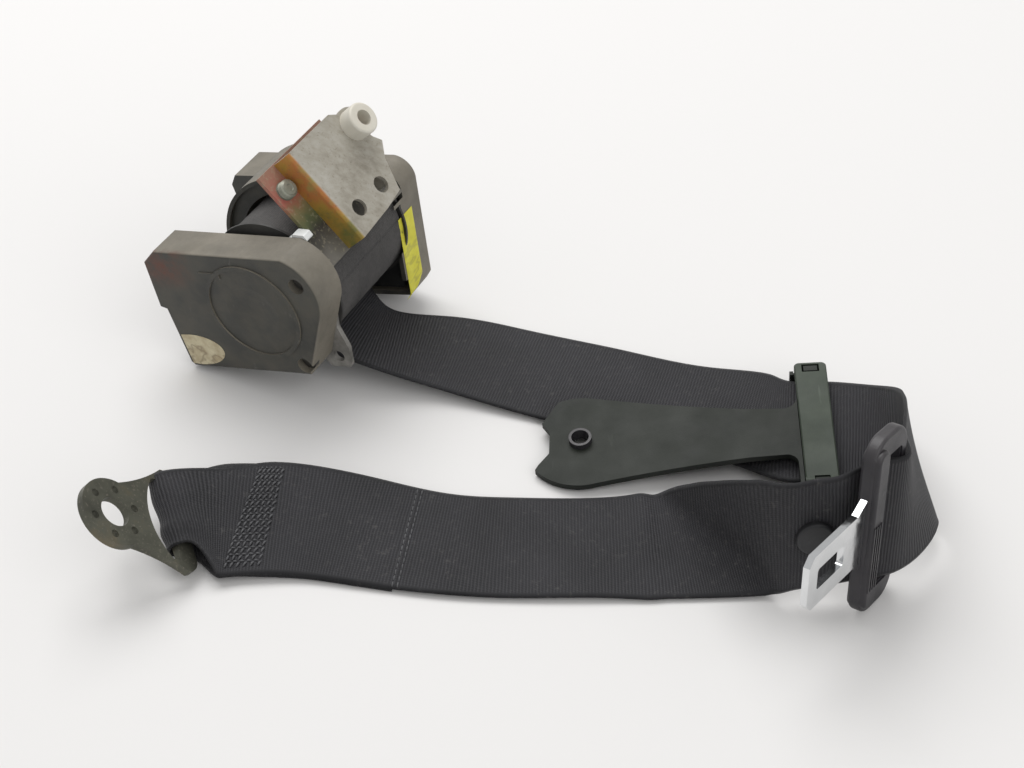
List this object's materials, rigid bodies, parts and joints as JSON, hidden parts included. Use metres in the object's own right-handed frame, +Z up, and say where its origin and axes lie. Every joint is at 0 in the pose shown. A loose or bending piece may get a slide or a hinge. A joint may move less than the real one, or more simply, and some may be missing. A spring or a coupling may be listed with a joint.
{
  "type": "seat belt",
  "caption": "Three-point seat belt off the vehicle: emergency locking retractor with bracket, webbing laid in a U, belt guide with opening loop, tongue and swivelling anchor plate.",
  "frame": {"origin": "centre of the bounding box on the surface the belt lies on", "axes": "+X along the belt from the retractor to the tongue, +Y away from the anchor plate towards the retractor, +Z up"},
  "size_m": [0.3, 0.2362, 0.0981],
  "materials": {
    "cover_plastic": "dusty fine grain",
    "frame_steel": "yellow zinc, worn",
    "bracket_steel": "zinc, stained",
    "dark_steel": "satin",
    "bright_steel": "polished",
    "shaft_steel": "turned",
    "spring_steel": "blued",
    "nylon": "natural nylon",
    "clear_plastic": "cloudy",
    "webbing": "ribbed weave",
    "roll_webbing": "dusty weave",
    "label_cream": "blank",
    "label_yellow": "blank",
    "guide_plastic": "fine grain",
    "gate_plastic": "fine grain",
    "grip_plastic": "satin",
    "button_plastic": "satin",
    "die_cast": "cast",
    "anchor_steel": "phosphate, worn"
  },
  "bodies": {
    "retractor": {"front_cover": "cover_plastic", "rear_cover": "cover_plastic", "retractor_frame": "frame_steel", "spool_shroud": "cover_plastic", "front_bush": "nylon", "rear_bush": "nylon", "return_spring": "spring_steel", "pawl_pin": "shaft_steel", "sensor_housing": "nylon", "cover_screws": "dark_steel", "frame_clip": "clear_plastic", "bracket_plate": "bracket_steel", "mount_bush": "nylon", "bracket_screw": "shaft_steel", "webbing": "webbing", "anchor_fold": "webbing", "stop_button": "button_plastic", "cream_label": "label_cream", "yellow_label": "label_yellow"},
    "spool": {"spool": "die_cast", "webbing_roll": "roll_webbing", "torsion_shaft": "shaft_steel", "spring_arbor": "nylon", "lock_wheel": "shaft_steel"},
    "pawl": {"lock_pawl": "shaft_steel"},
    "sensor_ball": {"sensor_ball": "shaft_steel"},
    "sensor_lever": {"sensor_lever": "nylon"},
    "guide": {"guide_arm": "guide_plastic", "hub_bush": "dark_steel", "gate_pin": "dark_steel"},
    "gate": {"guide_gate": "gate_plastic"},
    "tongue": {"tongue_plate": "bright_steel", "tongue_grip": "grip_plastic"},
    "anchor": {"anchor_plate": "anchor_steel"}
  },
  "joints": [
    {"name": "spool_turn", "type": "hinge", "parent": "retractor", "child": "spool", "pos_m": [-0.08028, 0.05948, 0.04135], "axis": [0.454, 0.891, 0], "range_deg": [-3600, 1080]},
    {"name": "pawl_swing", "type": "hinge", "parent": "retractor", "child": "pawl", "pos_m": [-0.08745, 0.09635, 0.03647], "axis": [-0.454, -0.891, 0], "range_deg": [0, 6]},
    {"name": "ball_lift", "type": "slide", "parent": "retractor", "child": "sensor_ball", "axis": [-0.2753, 0.1403, 0.9511], "range_m": [0, 0.00115]},
    {"name": "lever_lift", "type": "hinge", "parent": "retractor", "child": "sensor_lever", "pos_m": [-0.08679, 0.09939, 0.01465], "axis": [-0.454, -0.891, 0], "range_deg": [0, 12.5]},
    {"name": "guide_travel", "type": "slide", "parent": "retractor", "child": "guide", "axis": [0.9877, -0.1296, 0.088], "range_m": [-0.002, 0.003]},
    {"name": "gate_open", "type": "hinge", "parent": "guide", "child": "gate", "pos_m": [0.10996, -0.03799, 0.0123], "axis": [0.9943, -0.0347, 0.1011], "range_deg": [0, 105]},
    {"name": "tongue_travel", "type": "slide", "parent": "retractor", "child": "tongue", "axis": [-0.9613, -0.2674, 0.0667], "range_m": [-0.001, 0.0015]},
    {"name": "anchor_swing", "type": "hinge", "parent": "retractor", "child": "anchor", "pos_m": [-0.12206, -0.05698, 0.01095], "axis": [0.3379, -0.894, -0.2943], "range_deg": [-40, 40]}
  ],
  "couplings": [
    {"joint": "lever_lift", "follows": "ball_lift", "rad_per_m": 166.67}
  ]
}
